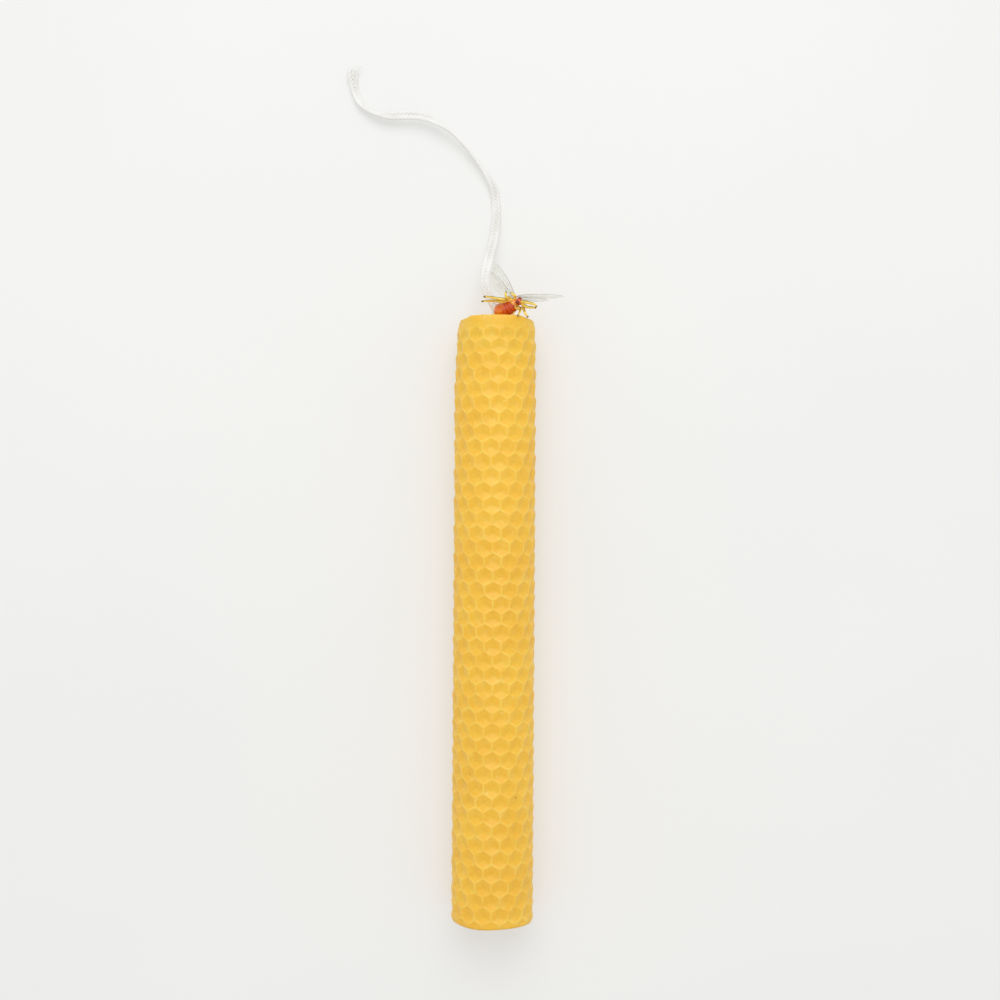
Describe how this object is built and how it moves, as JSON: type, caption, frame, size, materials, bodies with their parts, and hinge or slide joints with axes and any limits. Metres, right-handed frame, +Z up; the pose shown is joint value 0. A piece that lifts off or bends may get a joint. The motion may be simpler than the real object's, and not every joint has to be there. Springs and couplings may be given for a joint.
{
  "type": "easter candle",
  "caption": "Slim pillar candle rolled from a honeycomb-embossed beeswax sheet round a long cotton wick, with a small bee ornament pinned into its wick end.",
  "frame": {"origin": "on the surface that the candle lies on, under the middle of the candle and bee without the free wick", "axes": "+Y along the candle from its base to its wick end, +Z up from the surface, +X to the right in the picture"},
  "size_m": [0.0747, 0.2908, 0.0269],
  "materials": {
    "beeswax": null,
    "cotton": "flat braided bleached cotton",
    "amber_resin": "glossy translucent orange-red",
    "honey_resin": "glossy golden orange",
    "garnet_bead": "glossy dark red bead",
    "gold_wire": "bright gold-coloured wire",
    "wing_film": "clear thin film"
  },
  "bodies": {
    "candle": {"wax_sheet": "beeswax", "wick_core": "cotton", "wick_tail": "cotton"},
    "bee": {"bee_abdomen": "amber_resin", "bee_thorax": "honey_resin", "bee_head": "amber_resin", "bee_eye_right": "garnet_bead", "bee_eye_left": "garnet_bead", "bee_leg_hind_right": "gold_wire", "bee_leg_hind_left": "gold_wire", "bee_leg_middle_right": "gold_wire", "bee_leg_middle_left": "gold_wire", "bee_leg_front_right": "gold_wire", "bee_leg_front_left": "gold_wire", "bee_antenna_right": "gold_wire", "bee_antenna_left": "gold_wire", "bee_forewing_right": "wing_film", "bee_hindwing_right": "wing_film", "bee_forewing_left": "wing_film", "bee_hindwing_left": "wing_film", "bee_stem": "gold_wire"}
  },
  "joints": [
    {"name": "bee_pull", "type": "slide", "parent": "candle", "child": "bee", "axis": [0, 1, 0], "range_m": [0, 0.012]}
  ]
}
